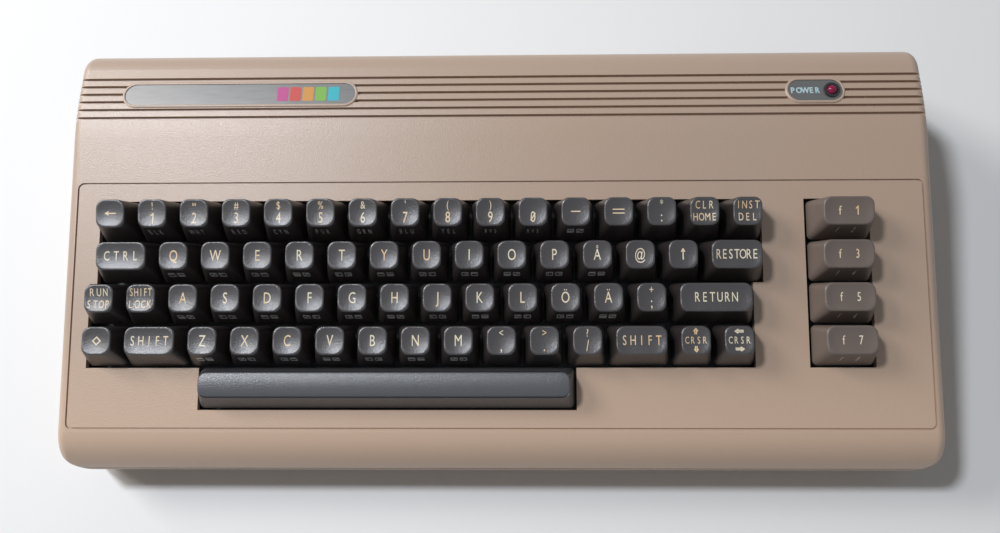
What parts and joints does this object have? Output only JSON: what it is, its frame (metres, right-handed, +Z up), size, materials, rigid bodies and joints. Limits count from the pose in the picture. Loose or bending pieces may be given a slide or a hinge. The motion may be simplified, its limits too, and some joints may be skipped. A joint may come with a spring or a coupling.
{
  "type": "home computer",
  "caption": "Wedge-shaped home computer in one case with a sprung full-travel keyboard, a function key column, a power lamp, a rocker switch and rear and side sockets.",
  "frame": {"origin": "middle of the footprint, on the surface the rubber feet stand on", "axes": "+X along the keyboard to the user's right, +Y from the front edge to the sockets at the back, +Z up"},
  "size_m": [0.404, 0.216, 0.0756],
  "materials": {
    "case_plastic": "moulded ABS with a fine grain, warm beige-grey",
    "base_plastic": "moulded ABS, the same beige-grey",
    "key_plastic": "dark brown moulded keycaps with a satin top",
    "function_key_plastic": "lighter grey-brown moulded keycaps",
    "black_plastic": "black moulded plastic",
    "badge_metal": "thin brushed aluminium plate",
    "lamp_lens": "clear red lamp body",
    "lead_sheath": "soft plastic sheath",
    "foot_rubber": "black rubber",
    "screw_steel": "plain steel",
    "keyboard_laminate": "brown paper laminate",
    "board_laminate": "green lacquered glass laminate",
    "contact_gold": "gold-coloured contact strips",
    "chip_plastic": "black moulding compound",
    "capacitor_sleeve": "blue shrink sleeve",
    "tinned_steel": "tinned sheet steel",
    "plated_jack": "nickel-plated brass",
    "connector_plastic": "black moulded connector body"
  },
  "bodies": {
    "root": {"top_case": "case_plastic", "bottom_case": "base_plastic", "badge_plate": "badge_metal", "lamp_badge": "badge_metal", "power_lamp": "lamp_lens", "lamp_bezel": "black_plastic", "lamp_lead": "lead_sheath", "rubber_feet": "foot_rubber", "case_screws": "screw_steel", "keyboard_chassis": "black_plastic", "keyboard_board": "keyboard_laminate", "keyboard_lead": "lead_sheath", "inner_screws": "screw_steel", "main_board": "board_laminate", "edge_contacts": "contact_gold", "chips": "chip_plastic", "capacitors": "capacitor_sleeve", "rf_modulator": "tinned_steel", "aerial_jack": "plated_jack", "cartridge_connector": "connector_plastic", "av_socket": "black_plastic", "serial_socket": "black_plastic", "power_socket": "black_plastic", "socket_inserts": "black_plastic", "control_ports": "tinned_steel", "switch_body": "black_plastic"},
    "key_clear_home": {"key_clear_home": "key_plastic"},
    "key_insert_delete": {"key_insert_delete": "key_plastic"},
    "key_control": {"key_control": "key_plastic"},
    "key_restore": {"key_restore": "key_plastic"},
    "key_run_stop": {"key_run_stop": "key_plastic"},
    "key_shift_lock": {"key_shift_lock": "key_plastic"},
    "key_return": {"key_return": "key_plastic"},
    "key_system": {"key_system": "key_plastic"},
    "key_shift_left": {"key_shift_left": "key_plastic"},
    "key_shift_right": {"key_shift_right": "key_plastic"},
    "key_cursor_up_down": {"key_cursor_up_down": "key_plastic"},
    "key_cursor_left_right": {"key_cursor_left_right": "key_plastic"},
    "key_f1": {"key_f1": "function_key_plastic"},
    "key_f3": {"key_f3": "function_key_plastic"},
    "key_f5": {"key_f5": "function_key_plastic"},
    "key_f7": {"key_f7": "function_key_plastic"},
    "keys_arrow_1_2_3": {"keys_arrow_1_2_3": "key_plastic"},
    "keys_4_5_6": {"keys_4_5_6": "key_plastic"},
    "keys_7_8_9": {"keys_7_8_9": "key_plastic"},
    "keys_0_minus_equals_colon": {"keys_0_minus_equals_colon": "key_plastic"},
    "keys_q_w_e": {"keys_q_w_e": "key_plastic"},
    "keys_r_t_y": {"keys_r_t_y": "key_plastic"},
    "keys_u_i_o": {"keys_u_i_o": "key_plastic"},
    "keys_p_ring_at_up": {"keys_p_ring_at_up": "key_plastic"},
    "keys_a_s_d": {"keys_a_s_d": "key_plastic"},
    "keys_f_g_h": {"keys_f_g_h": "key_plastic"},
    "keys_j_k_l": {"keys_j_k_l": "key_plastic"},
    "keys_umlauts_plus": {"keys_umlauts_plus": "key_plastic"},
    "keys_z_x_c": {"keys_z_x_c": "key_plastic"},
    "keys_v_b_n": {"keys_v_b_n": "key_plastic"},
    "keys_m_comma_period_slash": {"keys_m_comma_period_slash": "key_plastic"},
    "space_bar": {"space_bar": "key_plastic"},
    "power_rocker": {"power_rocker": "black_plastic"},
    "channel_switch": {"channel_switch": "black_plastic"}
  },
  "joints": [
    {"name": "key_clear_home_press", "type": "slide", "parent": "root", "child": "key_clear_home", "axis": [0, -0.1994, 0.9799], "range_m": [-0.0038, 0], "stiffness_N_per_m": 150, "springref_m": 0.003},
    {"name": "key_insert_delete_press", "type": "slide", "parent": "root", "child": "key_insert_delete", "axis": [0, -0.1994, 0.9799], "range_m": [-0.0038, 0], "stiffness_N_per_m": 150, "springref_m": 0.003},
    {"name": "key_control_press", "type": "slide", "parent": "root", "child": "key_control", "axis": [0, -0.1994, 0.9799], "range_m": [-0.0038, 0], "stiffness_N_per_m": 150, "springref_m": 0.003},
    {"name": "key_restore_press", "type": "slide", "parent": "root", "child": "key_restore", "axis": [0, -0.1994, 0.9799], "range_m": [-0.0038, 0], "stiffness_N_per_m": 150, "springref_m": 0.003},
    {"name": "key_run_stop_press", "type": "slide", "parent": "root", "child": "key_run_stop", "axis": [0, -0.1994, 0.9799], "range_m": [-0.0038, 0], "stiffness_N_per_m": 150, "springref_m": 0.003},
    {"name": "key_shift_lock_press", "type": "slide", "parent": "root", "child": "key_shift_lock", "axis": [0, -0.1994, 0.9799], "range_m": [-0.0038, 0], "stiffness_N_per_m": 150, "springref_m": 0.003},
    {"name": "key_return_press", "type": "slide", "parent": "root", "child": "key_return", "axis": [0, -0.1994, 0.9799], "range_m": [-0.0038, 0], "stiffness_N_per_m": 150, "springref_m": 0.003},
    {"name": "key_system_press", "type": "slide", "parent": "root", "child": "key_system", "axis": [0, -0.1994, 0.9799], "range_m": [-0.0038, 0], "stiffness_N_per_m": 150, "springref_m": 0.003},
    {"name": "key_shift_left_press", "type": "slide", "parent": "root", "child": "key_shift_left", "axis": [0, -0.1994, 0.9799], "range_m": [-0.0038, 0], "stiffness_N_per_m": 150, "springref_m": 0.003},
    {"name": "key_shift_right_press", "type": "slide", "parent": "root", "child": "key_shift_right", "axis": [0, -0.1994, 0.9799], "range_m": [-0.0038, 0], "stiffness_N_per_m": 150, "springref_m": 0.003},
    {"name": "key_cursor_up_down_press", "type": "slide", "parent": "root", "child": "key_cursor_up_down", "axis": [0, -0.1994, 0.9799], "range_m": [-0.0038, 0], "stiffness_N_per_m": 150, "springref_m": 0.003},
    {"name": "key_cursor_left_right_press", "type": "slide", "parent": "root", "child": "key_cursor_left_right", "axis": [0, -0.1994, 0.9799], "range_m": [-0.0038, 0], "stiffness_N_per_m": 150, "springref_m": 0.003},
    {"name": "key_f1_press", "type": "slide", "parent": "root", "child": "key_f1", "axis": [0, -0.1994, 0.9799], "range_m": [-0.0038, 0], "stiffness_N_per_m": 150, "springref_m": 0.003},
    {"name": "key_f3_press", "type": "slide", "parent": "root", "child": "key_f3", "axis": [0, -0.1994, 0.9799], "range_m": [-0.0038, 0], "stiffness_N_per_m": 150, "springref_m": 0.003},
    {"name": "key_f5_press", "type": "slide", "parent": "root", "child": "key_f5", "axis": [0, -0.1994, 0.9799], "range_m": [-0.0038, 0], "stiffness_N_per_m": 150, "springref_m": 0.003},
    {"name": "key_f7_press", "type": "slide", "parent": "root", "child": "key_f7", "axis": [0, -0.1994, 0.9799], "range_m": [-0.0038, 0], "stiffness_N_per_m": 150, "springref_m": 0.003},
    {"name": "keys_arrow_1_2_3_press", "type": "slide", "parent": "root", "child": "keys_arrow_1_2_3", "axis": [0, -0.1994, 0.9799], "range_m": [-0.0038, 0], "stiffness_N_per_m": 150, "springref_m": 0.003},
    {"name": "keys_4_5_6_press", "type": "slide", "parent": "root", "child": "keys_4_5_6", "axis": [0, -0.1994, 0.9799], "range_m": [-0.0038, 0], "stiffness_N_per_m": 150, "springref_m": 0.003},
    {"name": "keys_7_8_9_press", "type": "slide", "parent": "root", "child": "keys_7_8_9", "axis": [0, -0.1994, 0.9799], "range_m": [-0.0038, 0], "stiffness_N_per_m": 150, "springref_m": 0.003},
    {"name": "keys_0_minus_equals_colon_press", "type": "slide", "parent": "root", "child": "keys_0_minus_equals_colon", "axis": [0, -0.1994, 0.9799], "range_m": [-0.0038, 0], "stiffness_N_per_m": 150, "springref_m": 0.003},
    {"name": "keys_q_w_e_press", "type": "slide", "parent": "root", "child": "keys_q_w_e", "axis": [0, -0.1994, 0.9799], "range_m": [-0.0038, 0], "stiffness_N_per_m": 150, "springref_m": 0.003},
    {"name": "keys_r_t_y_press", "type": "slide", "parent": "root", "child": "keys_r_t_y", "axis": [0, -0.1994, 0.9799], "range_m": [-0.0038, 0], "stiffness_N_per_m": 150, "springref_m": 0.003},
    {"name": "keys_u_i_o_press", "type": "slide", "parent": "root", "child": "keys_u_i_o", "axis": [0, -0.1994, 0.9799], "range_m": [-0.0038, 0], "stiffness_N_per_m": 150, "springref_m": 0.003},
    {"name": "keys_p_ring_at_up_press", "type": "slide", "parent": "root", "child": "keys_p_ring_at_up", "axis": [0, -0.1994, 0.9799], "range_m": [-0.0038, 0], "stiffness_N_per_m": 150, "springref_m": 0.003},
    {"name": "keys_a_s_d_press", "type": "slide", "parent": "root", "child": "keys_a_s_d", "axis": [0, -0.1994, 0.9799], "range_m": [-0.0038, 0], "stiffness_N_per_m": 150, "springref_m": 0.003},
    {"name": "keys_f_g_h_press", "type": "slide", "parent": "root", "child": "keys_f_g_h", "axis": [0, -0.1994, 0.9799], "range_m": [-0.0038, 0], "stiffness_N_per_m": 150, "springref_m": 0.003},
    {"name": "keys_j_k_l_press", "type": "slide", "parent": "root", "child": "keys_j_k_l", "axis": [0, -0.1994, 0.9799], "range_m": [-0.0038, 0], "stiffness_N_per_m": 150, "springref_m": 0.003},
    {"name": "keys_umlauts_plus_press", "type": "slide", "parent": "root", "child": "keys_umlauts_plus", "axis": [0, -0.1994, 0.9799], "range_m": [-0.0038, 0], "stiffness_N_per_m": 150, "springref_m": 0.003},
    {"name": "keys_z_x_c_press", "type": "slide", "parent": "root", "child": "keys_z_x_c", "axis": [0, -0.1994, 0.9799], "range_m": [-0.0038, 0], "stiffness_N_per_m": 150, "springref_m": 0.003},
    {"name": "keys_v_b_n_press", "type": "slide", "parent": "root", "child": "keys_v_b_n", "axis": [0, -0.1994, 0.9799], "range_m": [-0.0038, 0], "stiffness_N_per_m": 150, "springref_m": 0.003},
    {"name": "keys_m_comma_period_slash_press", "type": "slide", "parent": "root", "child": "keys_m_comma_period_slash", "axis": [0, -0.1994, 0.9799], "range_m": [-0.0038, 0], "stiffness_N_per_m": 150, "springref_m": 0.003},
    {"name": "space_bar_press", "type": "slide", "parent": "root", "child": "space_bar", "axis": [0, -0.1994, 0.9799], "range_m": [-0.0038, 0], "stiffness_N_per_m": 150, "springref_m": 0.003},
    {"name": "power_rocker_tilt", "type": "hinge", "parent": "root", "child": "power_rocker", "pos_m": [0.194, 0.056, 0.0175], "axis": [0, 0, 1], "range_deg": [0, 18]},
    {"name": "channel_switch_slide", "type": "slide", "parent": "root", "child": "channel_switch", "axis": [1, 0, 0], "range_m": [0, 0.004]}
  ]
}
